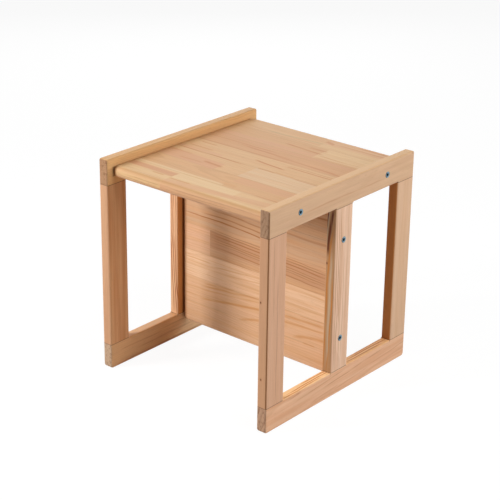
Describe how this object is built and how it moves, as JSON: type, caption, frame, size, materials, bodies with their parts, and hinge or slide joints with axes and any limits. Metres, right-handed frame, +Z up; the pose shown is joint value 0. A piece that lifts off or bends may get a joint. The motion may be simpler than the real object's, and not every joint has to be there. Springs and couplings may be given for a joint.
{
  "type": "chair table",
  "caption": "Child's cube chair and table in pine: open side frames joined by a table board and an upright board that becomes the seat when the piece is turned over.",
  "frame": {"origin": "on the ground under the centre of the piece", "axes": "+X to the right side frame, +Y to the back, +Z up; the table board is at the top"},
  "size_m": [0.344, 0.36, 0.36],
  "materials": {
    "pine_bar": "planed, sanded and clear matt lacquered pine",
    "pine_board": "edge-glued pine staves, sanded and clear matt lacquered",
    "beech_dowel": "plain beech",
    "zinc_screw": "bright zinc plated"
  },
  "bodies": {
    "root": {"left_back_stile": "pine_bar", "left_back_stile_bottom_dowel_back": "beech_dowel", "left_back_stile_bottom_dowel_front": "beech_dowel", "left_back_stile_top_dowel_back": "beech_dowel", "left_back_stile_top_dowel_front": "beech_dowel", "left_bottom_rail": "pine_bar", "left_front_stile": "pine_bar", "left_front_stile_bottom_dowel_back": "beech_dowel", "left_front_stile_bottom_dowel_front": "beech_dowel", "left_front_stile_top_dowel_back": "beech_dowel", "left_front_stile_top_dowel_front": "beech_dowel", "left_middle_stile": "pine_bar", "left_middle_stile_bottom_dowel_back": "beech_dowel", "left_middle_stile_bottom_dowel_front": "beech_dowel", "left_middle_stile_top_dowel_back": "beech_dowel", "left_middle_stile_top_dowel_front": "beech_dowel", "left_table_screw_back": "zinc_screw", "left_table_screw_front": "zinc_screw", "left_top_rail": "pine_bar", "left_upright_screw_lower": "zinc_screw", "left_upright_screw_upper": "zinc_screw", "right_back_stile": "pine_bar", "right_back_stile_bottom_dowel_back": "beech_dowel", "right_back_stile_bottom_dowel_front": "beech_dowel", "right_back_stile_top_dowel_back": "beech_dowel", "right_back_stile_top_dowel_front": "beech_dowel", "right_bottom_rail": "pine_bar", "right_front_stile": "pine_bar", "right_front_stile_bottom_dowel_back": "beech_dowel", "right_front_stile_bottom_dowel_front": "beech_dowel", "right_front_stile_top_dowel_back": "beech_dowel", "right_front_stile_top_dowel_front": "beech_dowel", "right_middle_stile": "pine_bar", "right_middle_stile_bottom_dowel_back": "beech_dowel", "right_middle_stile_bottom_dowel_front": "beech_dowel", "right_middle_stile_top_dowel_back": "beech_dowel", "right_middle_stile_top_dowel_front": "beech_dowel", "right_table_screw_back": "zinc_screw", "right_table_screw_front": "zinc_screw", "right_top_rail": "pine_bar", "right_upright_screw_lower": "zinc_screw", "right_upright_screw_upper": "zinc_screw", "table_board": "pine_board", "upright_board": "pine_board"}
  },
  "joints": []
}
